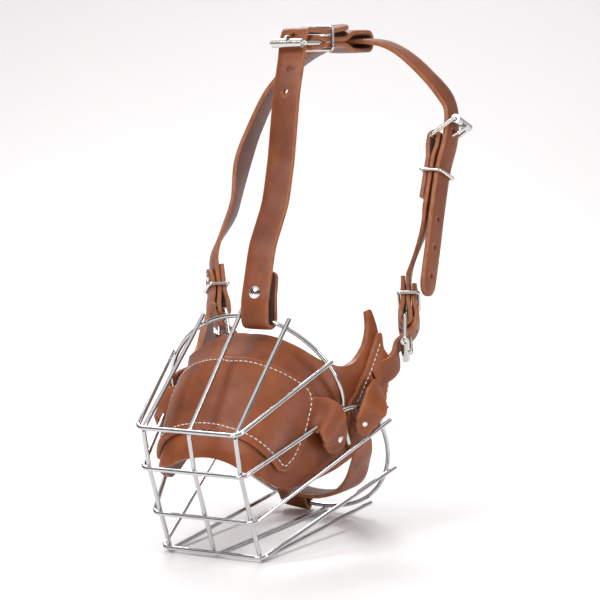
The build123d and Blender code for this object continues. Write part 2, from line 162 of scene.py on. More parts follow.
def make_edge(name, light, dark):
    """A cut strap edge, burnished, with the fibres lying along it."""
    s = Surface(name)
    layers = s.noise(420.0, 4.0, 0.65, (1, 1, 0.35))
    s.join(s.ramp(layers, [(0.3, dark), (0.7, light)]), s.shader.inputs["Base Color"])
    s.join(s.ramp(s.noise(90.0), [(0.3, 0.38), (0.7, 0.58)]), s.shader.inputs["Roughness"])
    s.bump([(layers, 0.4, 0.00018)])
    return s.material


def make_suede(name, light, dark):
    """The flesh side of the leather: dull, with a short nap."""
    s = Surface(name)
    nap = s.noise(520.0, 5.0, 0.75)
    patches = s.ramp(s.noise(45.0, 3.0), [(0.3, dark), (0.7, light)])
    fuzz = s.ramp(nap, [(0.3, 0.6), (0.65, 1.0)])
    s.join(s.blend("MULTIPLY", 0.6, patches, fuzz), s.shader.inputs["Base Color"])
    s.shader.inputs["Roughness"].default_value = 0.95
    s.shader.inputs["Sheen Weight"].default_value = 0.35
    s.shader.inputs["Sheen Roughness"].default_value = 0.5
    s.bump([(nap, 0.6, 0.0003)])
    return s.material


def make_thread(name):
    """Waxed white thread."""
    s = Surface(name)
    s.join(s.ramp(s.noise(700.0), [(0.3, (0.58, 0.52, 0.45)), (0.6, (0.86, 0.82, 0.76))]),
           s.shader.inputs["Base Color"])
    s.shader.inputs["Roughness"].default_value = 0.6
    s.bump([(s.noise(1800.0, 2.0, 0.5, (1, 1, 3)), 0.5, 0.00015)])
    return s.material


def make_plate(name, colour, rough, ripple, haze):
    """Bright plating over a drawn wire or a pressing: slight ripple and faint handling haze."""
    s = Surface(name)
    tint = s.ramp(s.noise(120.0, 3.0), [(0.35, tuple(c * 0.93 for c in colour)), (0.65, colour)])
    s.join(tint, s.shader.inputs["Base Color"])
    s.shader.inputs["Metallic"].default_value = 1.0
    smears = s.noise(260.0, 4.0, 0.7)
    s.join(s.ramp(smears, [(0.45, rough), (0.8, rough + haze)]), s.shader.inputs["Roughness"])
    s.bump([(s.noise(180.0, 2.0), ripple, 0.0002)])
    return s.material


LEATHER = make_leather("leather_tan", (0.325, 0.090, 0.030), (0.250, 0.064, 0.020), (0.175, 0.042, 0.013),
                       0.44)
STRAP_LEATHER = make_leather("leather_strap", (0.285, 0.078, 0.026), (0.212, 0.054, 0.017), (0.145, 0.034, 0.011),
                             0.42)
EDGE = make_edge("leather_edge", (0.42, 0.145, 0.055), (0.24, 0.070, 0.025))
SUEDE = make_suede("leather_suede", (0.175, 0.072, 0.052), (0.105, 0.042, 0.032))
THREAD = make_thread("thread_white")
CHROME = make_plate("chrome_wire", (0.62, 0.62, 0.635), 0.06, 0.12, 0.08)
NICKEL = make_plate("nickel_buckle", (0.70, 0.685, 0.66), 0.13, 0.15, 0.14)
CAP = make_plate("nickel_rivet", (0.80, 0.79, 0.77), 0.10, 0.10, 0.12)
HIDES = [LEATHER, EDGE, SUEDE]
STRAPS = [STRAP_LEATHER, EDGE, SUEDE]

for node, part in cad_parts.items():
    plate = CAP if "rivet" in node else NICKEL if ("buckle" in node or "keeper" in node) else CHROME
    if not part.material_slots:
        part.data.materials.append(plate)
    for place in part.material_slots:
        place.material = plate


# ---- making pieces ----
def add_piece(name, verts, faces, kinds, materials, body):
    """A mesh piece from points in millimetres, with a material number for each face."""
    mesh = bpy.data.meshes.new(name)
    mesh.from_pydata([tuple(Vector(v) * MM) for v in verts], [], faces)
    for material in materials:
        mesh.materials.append(material)
    mesh.polygons.foreach_set("material_index", kinds)
    mesh.polygons.foreach_set("use_smooth", [True] * len(faces))
    mesh.validate()
    obj = bpy.data.objects.new(name, mesh)
    bpy.context.scene.collection.objects.link(obj)
    if body:
        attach(obj, body)
    return obj


def apply_modifiers(obj):
    """Make what the modifiers give the mesh itself."""
    shown = obj.evaluated_get(bpy.context.evaluated_depsgraph_get())
    mesh = bpy.data.meshes.new_from_object(shown)
    obj.modifiers.clear()
    obj.data = mesh


def cut(obj, cutters):
    """Punch the cutters out of the piece."""
    for cutter in cutters:
        boolean = obj.modifiers.new("punch", "BOOLEAN")
        boolean.operation = "DIFFERENCE"
        boolean.solver = "EXACT"
        boolean.object = cutter
    bpy.context.view_layer.update()
    apply_modifiers(obj)
    for cutter in cutters:
        bpy.data.objects.remove(cutter)


def punch(centre, axis, radius, depth=12.0, along=None, length=0.0):
    """A cutter for a round hole, or for a slot with round ends along a direction."""
    side = (along or axis.orthogonal()).normalized()
    other = axis.cross(side).normalized()
    ring = []
    for i in range(24):
        angle = 2 * pi * i / 24
        push = length / 2 if cos(angle) >= 0 else -length / 2
        ring.append(side * (radius * cos(angle) + push) + other * (radius * sin(angle)))
    verts = [centre + p - axis * depth / 2 for p in ring] + [centre + p + axis * depth / 2 for p in ring]
    n = len(ring)
    faces = [[i, (i + 1) % n, n + (i + 1) % n, n + i] for i in range(n)]
    faces += [list(reversed(range(n))), list(range(n, 2 * n))]
    mesh = bpy.data.meshes.new("punch")
    mesh.from_pydata([tuple(v * MM) for v in verts], [], faces)
    mesh.materials.append(EDGE)
    obj = bpy.data.objects.new("punch", mesh)
    bpy.context.scene.collection.objects.link(obj)
    return obj


# ---- strap routes: stations of (centre, across, out, width) ----
class Stand:
    """A place with its own along, out and across directions."""

    def __init__(self, origin, along, across):
        self.origin = origin
        self.along = along.normalized()
        self.across = across.normalized()
        self.out = self.across.cross(self.along)

    def at(self, along, out, across=0.0):
        return self.origin + self.along * along + self.out * out + self.across * across


def rounded(points, radii, step=1.6):
    """A flat path with its inner corners rounded: (point, heading) every step or so."""
    points = [Vector(p) for p in points]
    path = [(points[0], (points[1] - points[0]).normalized())]

    def run_to(target):
        start = path[-1][0]
        heading = target - start
        if heading.length > 1e-6:
            count = max(1, int(heading.length / step))
            path.extend((start + heading * (i / count), heading.normalized()) for i in range(1, count + 1))

    for i in range(1, len(points) - 1):
        before = (points[i] - points[i - 1]).normalized()
        after = (points[i + 1] - points[i]).normalized()
        turn = before.angle_signed(after)
        reach = abs(radii[i - 1] / (1 / max(1e-6, abs(sin(turn / 2) / cos(turn / 2)))))
        run_to(points[i] - before * reach)
        entry = path[-1][0]
        side = Vector((-before.y, before.x)) * (-1 if turn > 0 else 1)
        centre = entry + side * radii[i - 1]
        count = max(2, int(abs(turn) / radians(11)))
        for k in range(1, count + 1):
            spin = Matrix.Rotation(-turn * k / count, 2)
            path.append((centre + spin @ (entry - centre), spin @ before))
    run_to(points[-1])
    return path


def bend(points, radii, stand, width=STRAP_W):
    """Stations of a strap that bends in one plane: points are (along, out) of the stand."""
    stations = []
    for spot, heading in rounded(points, radii):
        along = stand.along * heading.x + stand.out * heading.y
        stations.append((stand.at(spot.x, spot.y), stand.across, stand.across.cross(along), width))
    return stations


def turning(points, outs, step=1.8, width=STRAP_W, first=None, widths=None):
    """Stations of a strap that turns in space: a smooth line through the points, facing each out."""
    widths = widths or [width] * len(points)
    points = [Vector(p) for p in points]
    gaps = [(b - a).length for a, b in zip(points[:-1], points[1:])]
    slopes = [(points[1] - points[0]) / gaps[0]]
    for i in range(1, len(points) - 1):
        before = (points[i] - points[i - 1]) / gaps[i - 1]
        after = (points[i + 1] - points[i]) / gaps[i]
        slopes.append((before * gaps[i] + after * gaps[i - 1]) / (gaps[i] + gaps[i - 1]))
    slopes.append((points[-1] - points[-2]) / gaps[-1])
    if first is not None:
        slopes[0] = first
    stations = []
    for i, gap in enumerate(gaps):
        count = max(2, int(gap / step))
        last = 1 if i == len(gaps) - 1 else 0
        for k in range(count + last):
            t = k / count
            a, b = points[i], points[i + 1]
            ta, tb = slopes[i] * gap, slopes[i + 1] * gap
            centre = (a * (2 * t ** 3 - 3 * t ** 2 + 1) + ta * (t ** 3 - 2 * t ** 2 + t)
                      + b * (3 * t ** 2 - 2 * t ** 3) + tb * (t ** 3 - t ** 2))
            heading = (a * (6 * t ** 2 - 6 * t) + ta * (3 * t ** 2 - 4 * t + 1)
                       + b * (6 * t - 6 * t ** 2) + tb * (3 * t ** 2 - 2 * t)).normalized()
            ease = t * t * (3 - 2 * t)
            facing = outs[i].normalized() * (1 - ease) + outs[i + 1].normalized() * ease
            across = heading.cross(facing).normalized()
            wide = widths[i] * (1 - ease) + widths[i + 1] * ease
            stations.append((centre, across, across.cross(heading), wide))
    return stations


def reverse(stations):
    """The same strap the other way round, with the same side out."""
    return [(centre, -across, out, width) for centre, across, out, width in reversed(stations)]


def shaped(stations, length, power=2.0, at_start=False):
    """Narrow the strap's end into a rounded tip: power 2 is round, nearer 1 is pointed."""
    if at_start:
        return reverse(shaped(reverse(stations), length, power))
    left = 0.0
    result = [stations[-1]]
    for before, after in zip(reversed(stations[:-1]), reversed(stations[1:])):
        left += (after[0] - before[0]).length
        result.append(before)
        if left > length:
            break
    body = stations[:len(stations) - len(result) + 1]
    end = stations[-1]
    start = body[-1]
    marks = [0.0, 0.25, 0.45, 0.6, 0.72, 0.82, 0.9, 0.955, 0.99]
    run = end[0] - start[0]
    base = run.length - length
    for mark in marks:
        share = (base + mark * length) / run.length
        centre = start[0] + run * share
        out = (start[2] * (1 - share) + end[2] * share).normalized()
        width = end[3] * (1 - mark ** power) ** (1 / power)
        body.append((centre, end[1], out, max(width, 1.2)))
    return body


def strap(name, stations, body, nodes=(), thickness=STRAP_T, materials=STRAPS):
    """A leather strip with eased edges: grain on its out side, flesh behind, burnished edges."""
    half = thickness / 2
    crown = 0.25
    ease = min(0.9, half * 0.6)
    verts, faces, kinds = [], [], []
    for centre, across, out, width in stations:
        w = width / 2
        e = min(ease, w * 0.5)
        section = [(-w + e, -half), (-w + 0.3 * e, -half + 0.3 * e), (-w, -half + e), (-w, half - e),
                   (-w + 0.3 * e, half - 0.3 * e), (-w + e, half), (-w * 0.5, half + crown * 0.75),
                   (0, half + crown), (w * 0.5, half + crown * 0.75), (w - e, half),
                   (w - 0.3 * e, half - 0.3 * e), (w, half - e), (w, -half + e), (w - 0.3 * e, -half + 0.3 * e),
                   (w - e, -half), (0, -half)]
        verts += [centre + across * u + out * v for u, v in section]
    n = 16
    kind_of = [1, 1, 1, 1, 1, 0, 0, 0, 0, 1, 1, 1, 1, 1, 2, 2]
    for i in range(len(stations) - 1):
        for k in range(n):
            a, b = i * n + k, i * n + (k + 1) % n
            faces.append([a, b, b + n, a + n])
            kinds.append(kind_of[k])
    last = (len(stations) - 1) * n
    faces += [list(range(n)), [last + k for k in reversed(range(n))]]
    kinds += [1, 1]
    obj = add_piece(name, verts, faces, kinds, materials, body)
    if nodes:
        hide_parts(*nodes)
    return obj


def fold(end, reach):
    """(along, out) points of a strap folded round a heel bar, inner layer end first."""
    inner = [(end, -LAYER), (14.0, -LAYER), (6.0, -FOLD_R), (-FOLD_R, -FOLD_R)]
    return inner + [(along, -out) for along, out in reversed(inner[1:])] + [(reach, LAYER)]


# ---- stitching ----
def stitch_row(name, line, body, pitch=4.6, length=3.3, radius=0.42):
    """Stitches along a line of (point, surface normal): each rises from the leather and dips back."""
    marks = [0.0]
    for (a, _), (b, _) in zip(line[:-1], line[1:]):
        marks.append(marks[-1] + (b - a).length)

    def spot(distance):
        for i in range(len(line) - 1):
            if distance <= marks[i + 1]:
                share = (distance - marks[i]) / max(1e-9, marks[i + 1] - marks[i])
                before, after = line[i], line[i + 1]
                return before[0].lerp(after[0], share), before[1].lerp(after[1], share).normalized()
        return line[-1]

    verts, faces = [], []
    sides = 6
    profile = [(0.0, -0.35, 0.55), (0.12, 0.12, 0.95), (0.5, 0.34, 1.1), (0.88, 0.12, 0.95), (1.0, -0.35, 0.55)]
    for i in range(int((marks[-1] - length) / pitch) + 1):
        start = i * pitch + 0.3
        base = len(verts)
        for share, rise, fat in profile:
            point, normal = spot(start + share * length)
            ahead, _ = spot(start + share * length + 0.2)
            back, _ = spot(start + share * length - 0.2)
            across = normal.cross(ahead - back).normalized()
            for k in range(sides):
                angle = 2 * pi * k / sides
                round_r = radius * fat
                verts.append(point + normal * (rise + round_r * 0.8 * sin(angle)) + across * round_r * cos(angle))
        for ring in range(len(profile) - 1):
            for k in range(sides):
                a = base + ring * sides + k
                b = base + ring * sides + (k + 1) % sides
                faces.append([a, b, b + sides, a + sides])
        last = base + (len(profile) - 1) * sides
        faces += [[base + k for k in reversed(range(sides))], [last + k for k in range(sides)]]
    return add_piece(name, verts, faces, [0] * len(faces), [THREAD], body)


# ---- the saddle's curved surface ----
# At each y: the height of the crown, the half width, and where the straight sides begin.
SADDLE = [(-14, 42, 33, 34), (-7, 64, 36.5, 44), (-2, 81, 39.5, 52), (10, 97.5, 43.3, 60), (30, 122.6, 49.8, 72),
          (56, 142, 57.4, 85), (85, 185, 63.5, 125), (120, 200, 69.5, 130)]
ARCH = 86.0                  # millimetres of surface from crown to spring line, for one unit


def saddle_at(y):
    """Crown, half width and spring height, easing between the listed ones."""
    i = max(0, min(len(SADDLE) - 2, sum(1 for row in SADDLE if row[0] <= y) - 1))
    low, high = SADDLE[i], SADDLE[i + 1]
    before = SADDLE[max(0, i - 1)]
    after = SADDLE[min(len(SADDLE) - 1, i + 2)]
    t = (y - low[0]) / (high[0] - low[0])
    span = high[0] - low[0]
    values = []
    for k in (1, 2, 3):
        middle = (high[k] - low[k]) / span
        left = (low[k] - before[k]) / (low[0] - before[0]) if i > 0 else middle
        right = (after[k] - high[k]) / (after[0] - high[0]) if i < len(SADDLE) - 2 else middle
        slope_a = 0 if left * middle <= 0 else 2 * left * middle / (left + middle)
        slope_b = 0 if right * middle <= 0 else 2 * right * middle / (right + middle)
        values.append(low[k] * (2 * t ** 3 - 3 * t ** 2 + 1) + slope_a * span * (t ** 3 - 2 * t ** 2 + t)
                      + high[k] * (3 * t ** 2 - 2 * t ** 3) + slope_b * span * (t ** 3 - t ** 2))
    return values


def surface(y, s):
    """The saddle's outer surface: s runs from the crown to either side, in millimetres or so."""
    crown, half, spring = saddle_at(y)
    side = 1 if s >= 0 else -1
    a = abs(s) / ARCH
    if a <= 1:
        return Vector((side * half * sin(a * pi / 2), y, spring + (crown - spring) * cos(a * pi / 2)))
    return Vector((side * half, y, spring - (a - 1) * ARCH))


def lifted(y, s, lift):
    """A point above the surface, and the surface's normal there."""
    point = surface(y, s)
    along = surface(y + 0.5, s) - surface(y - 0.5, s)
    across = surface(y, s + 0.5) - surface(y, s - 0.5)
    normal = across.cross(along).normalized()
    if normal.dot(Vector((point.x, -20, point.z - 40))) < 0:
        normal.negate()
    return point + normal * lift, normal


def across_at(y, z, side):
    """How far round the surface a side outline's point (y, z) lies."""
    crown, half, spring = saddle_at(y)
    if z < spring:
        return side * (ARCH + spring - z)
    return side * ARCH * acos(min(1.0, (z - spring) / (crown - spring))) * 2 / pi


def densify(points, step):
    """Points along a flat line, no further apart than the step."""
    result = []
    for a, b in zip(points[:-1], points[1:]):
        count = max(1, int((b - a).length / step))
        result += [a.lerp(b, i / count) for i in range(count)]
    return result + [points[-1]]


def on_side(points, radii, side, step=2.0):
    """A rounded side outline (y, z), as (y, s) points on the surface."""
    line = [spot for spot, _ in rounded(points, radii, step)]
    return [Vector((p.x, across_at(p.x, p.y, side))) for p in line]


def sheet_piece(name, outline, inner, outer, body, nodes, materials, cell=4.0, edge=0.9):
    """A leather sheet on the saddle's surface, between two lifts, with an eased cut edge."""
    border = list(outline)
    if (border[0] - border[-1]).length < 0.5:
        border.pop()
    low = Vector((min(p.x for p in border), min(p.y for p in border)))
    high = Vector((max(p.x for p in border), max(p.y for p in border)))
    points = [Vector(p) for p in border]
    ring = list(range(len(points)))
    rows = int((high.x - low.x) / cell)
    columns = int((high.y - low.y) / cell)
    for i in range(1, rows):
        for k in range(1, columns):
            spot = Vector((low.x + (high.x - low.x) * i / rows, low.y + (high.y - low.y) * k / columns))
            if min((spot - p).length for p in border) > cell * 0.55:
                points.append(spot)
    flat, _, triangles, _, _, _ = delaunay_2d_cdt(points, [], [ring], 1, 1e-4)
    used = sorted({i for tri in triangles for i in tri})
    renumbered = {old: new for new, old in enumerate(used)}
    flat = [flat[i] for i in used]
    triangles = [[renumbered[i] for i in tri] for tri in triangles]
    count = len(flat)
    verts = [lifted(p.x, p.y, outer)[0] for p in flat]
    verts += [lifted(p.x, p.y, inner)[0] for p in flat]
    faces, kinds, rim = [], [], {}
    for tri in triangles:
        a, b, c = (verts[i] for i in tri)
        _, normal = lifted(flat[tri[0]].x, flat[tri[0]].y, 0)
        order = list(tri) if (b - a).cross(c - a).dot(normal) > 0 else list(reversed(tri))
        faces += [order, [i + count for i in reversed(order)]]
        kinds += [0, 2]
        for i, j in zip(order, order[1:] + order[:1]):
            if (j, i) in rim:
                del rim[(j, i)]
            else:
                rim[(i, j)] = True
    for i, j in rim:
        faces.append([j, i, i + count, j + count])
        kinds.append(1)
    obj = add_piece(name, verts, faces, kinds, materials, body)
    bevel = obj.modifiers.new("eased", "BEVEL")
    bevel.width = edge * MM
    bevel.segments = 3
    bevel.limit_method = "ANGLE"
    bevel.angle_limit = radians(55)
    apply_modifiers(obj)
    obj.data.polygons.foreach_set("use_smooth", [True] * len(obj.data.polygons))
    if nodes:
        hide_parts(*nodes)
    return obj


def inset_line(outline, distance, lift, step=1.0):
    """A line on the surface, a distance inside a stretch of outline: (point, normal) pairs."""
    line = densify(outline, step)
    result = []
    for before, here, after in zip(line[:-2], line[1:-1], line[2:]):
        point, normal = lifted(here.x, here.y, 0)
        run = lifted(after.x, after.y, 0)[0] - lifted(before.x, before.y, 0)[0]
        moved = point + normal.cross(run).normalized() * distance
        crown, half, spring = saddle_at(moved.y)
        side = 1 if moved.x >= 0 else -1
        if moved.z >= spring:
            round_by = atan2(abs(moved.x) / half, (moved.z - spring) / (crown - spring))
            s = side * ARCH * round_by * 2 / pi
        else:
            s = side * (ARCH + spring - moved.z)
        result.append(lifted(moved.y, s, lift))
    return result


# ---- build: saddle ----
LINING_SIDE = [(-6, 60), (4, 52), (17, 46), (38, 47), (62, 52), (78, 57), (106, 74), (111, 92), (113, 112),
               (110, 128), (107.5, 153), (103.5, 153), (100, 141), (94, 129), (84, 121), (73, 118.5), (62, 122),
               (56.5, 136)]
LINING_BENDS = [12, 12, 30, 30, 20, 12, 16, 12, 20, 1.9, 1.9, 24, 24, 16, 14, 14]


def both(points, radii, front, back):
    """A whole outline from its left side: across the front, up the left, over the crown, down the right."""
    left = on_side(points, radii, 1)
    right = [Vector((p.x, -p.y)) for p in reversed(left)]
    return left + back + right + front


lining_left = on_side(LINING_SIDE, LINING_BENDS, 1)
crown_end = Vector((lining_left[-1].x, -lining_left[-1].y))
crown_back = densify([lining_left[-1], Vector((54.0, 0)), crown_end], 2.0)
front_edge = densify([Vector((lining_left[0].x, -lining_left[0].y)), lining_left[0]], 2.0)
lining_outline = both(LINING_SIDE, LINING_BENDS, front_edge[1:-1], crown_back[1:-1])
sheet_piece("saddle_lining_leather", lining_outline, -4.0, 0.0, "basket", ["saddle_lining"], HIDES, edge=1.2)

PATCH_SIDE = [(-0.3, 82), (3.5, 70.0), (9.5, 60.0), (16.0, 58.0), (24, 64), (35, 79), (46.5, 98), (48.5, 107),
              (35.0, 125.0)]
PATCH_BENDS = [12.0, 5.0, 5.0, 10.0, 20.0, 8.0, 10.0]
patch_left = on_side(PATCH_SIDE, PATCH_BENDS, 1)
patch_right = [Vector((p.x, -p.y)) for p in reversed(patch_left)]
patch_back = densify([patch_left[-1], Vector((33.0, 0)), patch_right[0]], 2.0)
patch_front = densify([patch_right[-1], Vector((-0.5, 0)), patch_left[0]], 2.0)
patch_outline = patch_left + patch_back[1:-1] + patch_right + patch_front[1:-1]
sheet_piece("nose_patch_leather", patch_outline, 0.2, 4.0, "basket", ["nose_patch"], HIDES, edge=1.4)
closed = patch_outline + patch_outline[:2]
PITCH, STITCH = 3.5, 2.55
stitch_row("nose_patch_stitches", inset_line(closed, 4.0, 4.05), "basket", PITCH, STITCH)

WING_SIDE = [(73, 78), (73, 59.5), (84, 63), (106, 75), (112, 92), (116, 106), (117, 119), (109.5, 127), (108.5, 138),
             (104.5, 136), (92, 116), (80, 100), (73, 94), (73, 78)]
WING_BENDS = [3, 8, 10, 14, 10, 5, 6, 1.5, 2, 20, 12, 6]


# (x, y, z), the way it faces and its width, for the left side
EAR_ROWS = [((48.6, 34.0, 90.5), (0.92, -0.30, 0.30), 20.0), ((55.2, 40.0, 91.6), (0.82, -0.45, 0.35), 24.0),
            ((65.0, 43.0, 89.8), (0.93, -0.32, 0.20), 25.0), ((66.6, 46.0, 83.5), (0.95, -0.30, 0.0), 24.0),
            ((64.3, 51.5, 76.5), (0.97, -0.22, -0.1), 23.0), ((63.4, 53.5, 70.5), (0.97, -0.22, 0.0), 21.0),
            ((62.8, 54.5, 64.8), (0.97, -0.22, 0.0), 19.0)]
TAB_ROWS = [((70.6, 98.5, 104.5), (0.93, -0.35, 0.15), 6.0), ((75.0, 91.0, 103.0), (0.90, -0.40, 0.20), 12.0),
            ((79.2, 81.0, 98.0), (0.87, -0.42, 0.25), 18.0), ((80.2, 75.8, 91.0), (0.88, -0.45, 0.05), 21.0),
            ((75.2, 75.0, 83.0), (0.90, -0.38, -0.20), 20.0), ((73.2, 73.0, 78.0), (0.92, -0.36, 0.0), 18.0),
            ((72.4, 71.0, 73.5), (0.92, -0.36, 0.0), 15.0)]


def tie(name, rows, side, node, tip, power):
    """A small strap that leaves the leather, turns down over the side wire and ends in a rounded tip."""
    points = [Vector((side * spot[0], spot[1], spot[2])) for spot, _, _ in rows]
    outs = [Vector((side * out[0], out[1], out[2])) for _, out, _ in rows]
    stations = turning(points, outs, 1.4, widths=[wide for _, _, wide in rows])
    strap(name, shaped(stations, tip, power), "basket", [node], 3.0, HIDES)


for word, side in (("left", 1), ("right", -1)):
    line = on_side(WING_SIDE, WING_BENDS, side)
    wing = sheet_piece("cheek_wing_%s_leather" % word, line, 0.2, 3.4, "basket", ["cheek_wing_" + word], HIDES,
                       edge=0.9)
    stitch = on_side([(105.5, 133), (94, 114), (82.5, 99), (76, 92)], [30, 20], side)
    rear = on_side([(110, 92), (114.0, 106), (114.5, 112)], [10], side)
    if side < 0:
        stitch.reverse()
    else:
        rear.reverse()
    stitch_row("cheek_wing_%s_stitches" % word, inset_line(stitch, 1.2, 3.45), "basket", PITCH, STITCH)
    stitch_row("cheek_wing_%s_rear_stitches" % word, inset_line(rear, 0.6, 3.45), "basket", PITCH, STITCH)
    slot_place, slot_out = lifted(101.0, across_at(101.0, 104.0, side), 1.8)
    cut(wing, [punch(slot_place, slot_out, 1.2, 9.0, Vector((0, 0.5, -0.86)), 17.0)])

    tie("saddle_ear_%s_leather" % word, EAR_ROWS, side, "saddle_ear_" + word, 7.0, 2.0)
    tie("wing_loop_%s_leather" % word, TAB_ROWS, side, "wing_loop_" + word, 8.0, 1.7)


# ---- build: cheek tongues ----
def cheek_stand(word):
    """Where one cheek buckle's heel bar is, with along up the strap and out away from the head."""
    side = 1 if word == "left" else -1
    turn, slope = (radians(v) for v in CHEEK_TURNS[word])
    out = Vector((cos(turn), sin(turn), 0)) * side
    back = Vector((-sin(turn), cos(turn), 0))
    along = back * cos(slope) + Z * sin(slope)
    pivot = Vector((side * CHEEK_PIVOT.x, CHEEK_PIVOT.y, CHEEK_PIVOT.z))
    return Stand(pivot + along * HOLE_FROM_HEEL - out * HOLE_RISE, along, along.cross(out)), pivot


for word, side in (("left", 1), ("right", -1)):
    stand, pivot = cheek_stand(word)
    under = -(ROLLER_R + GAP + STRAP_T / 2 + 1.4)
    over = OVER + 0.4
    flank = Vector((0.97, -0.25, 0)) if side > 0 else Vector((-0.50, -0.85, 0.1))
    route = [lifted(105.0, across_at(105.0, 109.0, side), 1.2)[0], Vector((side * 73.4, 119.6, 115.5)),
             stand.at(-FRAME_LEN - 5.0, under), stand.at(-FRAME_LEN + 2.0, under + 0.2), stand.at(-10.2, 1.3),
             stand.at(-3.4, OVER_HEEL - 1.6), stand.at(3.0, OVER_HEEL), stand.at(8.0, OVER_HEEL - 0.3),
             stand.at(15.0, over), stand.at(24.0, over), stand.at(33.0, over)]
    outs = [flank, (stand.out + flank * 2) / 3, (stand.out * 2 + flank) / 3] + [stand.out] * 8
    widths = [18.0, 17.0, 16.5, 16.0, 16.0, 17.0] if side > 0 else [25.0, 24.0, 22.0, 19.5, 18.5, 18.5]
    stations = turning(route, outs, 1.6, widths=widths + [18.5] * 5)
    stations = shaped(stations, 10.0, 1.8)
    tongue = strap("cheek_tongue_%s" % word, stations, None, ["cheek_billet_" + word, "cheek_tail_" + word])
    hole_way = stand.along.lerp(stand.out, 0.45).normalized()
    cut(tongue, [punch(stand.at(-HOLE_FROM_HEEL, 3.2), hole_way, 1.9, 9.0)])
    tuple(stand.at(-16.0, 0) * MM)
    tuple(stand.at(2.0, 0) * MM)
    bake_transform(tongue)


# ---- build: neck straps ----
left_stand, _ = cheek_stand("left")
right_stand, _ = cheek_stand("right")
down = Vector((-0.02, -0.34, -0.94)).normalized()
neck_out = (X - down * down.x).normalized()
neck_stand = Stand(NECK_HEEL, down, down.cross(neck_out))


def joined(first, second):
    """Two runs of stations as one, without doubling where they meet."""
    return first[:-1] + second


def slot_cutter(stand):
    """The slot for a prong's ring, where a strap folds round a heel bar."""
    return punch(stand.at(-1.0, 0), stand.out, 2.0, 14.0, stand.along, 12.0)


rise = bend(fold(34.0, 36.0), FOLD_BENDS, right_stand)
route = [rise[-1][0], Vector((-79.5, 168, 214)), Vector((-77, 178, 247)), Vector((-71, 187, 272)),
         Vector((-57, 189, 297)), Vector((-32, 185, 317)), NECK_TOP, Vector((37, 184, 329)),
         Vector((66, 189, 308)), neck_stand.at(-24, 4.5), neck_stand.at(-3, OVER_HEEL + 0.6),
         neck_stand.at(20, OVER + 1.2), neck_stand.at(46, OVER + 1.6), neck_stand.at(80, OVER + 3),
         neck_stand.at(110, OVER + 4)]
outs = [right_stand.out, Vector((-0.9, -0.3, 0)), -X, Vector((-0.9, 0, 0.3)), Vector((-0.75, 0, 0.7)),
        Vector((-0.4, 0, 1)), Z, Vector((0.3, 0, 1)), Vector((0.8, 0, 0.6))] + [neck_out] * 6
stations = joined(rise, turning(route, outs, first=right_stand.along))
long_strap = strap("neck_strap_long_leather", shaped(stations, 11.0, 2.2), "head_loop", ["neck_strap_long"])
holes = [punch(neck_stand.at(along, OVER + rise_by), neck_out, 1.9)
         for along, rise_by in ((56.0, 2.0), (76.0, 2.8), (96.0, 3.6))]
holes.append(slot_cutter(right_stand))
holes.append(punch(neck_stand.at(-7.0, OVER_HEEL), neck_out, 2.0, 9.0))
cut(long_strap, holes)

lower = bend(fold(34.0, 36.0), FOLD_BENDS, left_stand)
upper = bend(fold(43.0, 46.0), FOLD_BENDS, neck_stand)
between = turning([lower[-1][0], Vector((76.5, 165, 205)), upper[-1][0]],
                  [left_stand.out, (left_stand.out + neck_out) * 0.5, neck_out], first=left_stand.along)
short_strap = strap("neck_strap_short_leather", joined(joined(lower, between), reverse(upper)), "head_loop",
                    ["neck_strap_short"])
cut(short_strap, [slot_cutter(left_stand), slot_cutter(neck_stand)])

# ---- build: centre strap and connector ----
side_on = Stand(Vector((STRAP_X, 0, 0)), Vector((0, 1, 0)), X)
y, z = HOOP_PIVOT.y, HOOP_PIVOT.z
loop = WIRE_R + 2.7 + STRAP_T / 2
low = z - loop
heel_z = TOP_HEEL.z
run = [(y + 9.0, 183.0), (y + loop, 165.0), (y + loop, low), (y - loop, low), (y - loop, 163.0), (52.0, 199.0),
       (70.5, 226.0), (79.0, 254.0), (88.0, 298.0), (95.5, 320.0), (98.0, 331.5),
       (102.0, heel_z + OVER_HEEL + 1.0),
       (116.0, heel_z + OVER_HEEL + 0.6), (131.0, heel_z + OVER + 1.6), (168.0, heel_z + OVER + 5.2)]
bends = [12.0, loop - 0.1, loop - 0.1, 30.0, 40.0, 40.0, 60.0, 60.0, 20.0, 5.0, 5.0, 14.0, 30.0]
stations = shaped(shaped(bend(run, bends, side_on), 12.0, 1.7), 6.0, 2.6, True)
centre = strap("centre_strap_leather", stations, None, ["centre_strap", "centre_strap_tail"])
foot, head = Vector((STRAP_X, 88.0, 298.0)), Vector((STRAP_X, 95.5, 320.0))
facing = Vector((0, -(head - foot).z, (head - foot).y)).normalized()
cut(centre, [punch(foot.lerp(head, share), facing, 1.9) for share in (0.05, 0.7)]
    + [punch(Vector((STRAP_X, 99.0, 335.5)), Vector((0, -0.75, 0.66)).normalized(), 1.7, 9.0)])
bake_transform(centre)

top_stand = Stand(TOP_HEEL, Vector((0, 1, 0)), X)
far = NECK_TOP.y - TOP_HEEL.y + STRAP_W / 2 + 4.0
open_half = 6.2
near = far - STRAP_W - 8.0
run = [(22.0, -LAYER), (15.0, -LAYER), (6.0, -FOLD_R), (-FOLD_R, -FOLD_R), (-FOLD_R, FOLD_R), (6.0, FOLD_R),
       (14.0, LAYER),
       (near - 12.0, LAYER), (near, open_half), (far, open_half), (far, -open_half), (near, -open_half),
       (near - 12.0, -LAYER), (26.0, -LAYER)]
bends = [10.0, 10.0, FOLD_R - 0.05, FOLD_R - 0.05, 6.0, 10.0, 14.0, 14.0, open_half - 0.3, open_half - 0.3, 14.0,
         14.0]
connector = strap("top_connector_leather", bend(run, bends, top_stand), "top_connector", ["top_connector"])
cut(connector, [slot_cutter(top_stand)])


# ---- build: throat strap and chin loop ----
LOWER_LEAN = -0.70


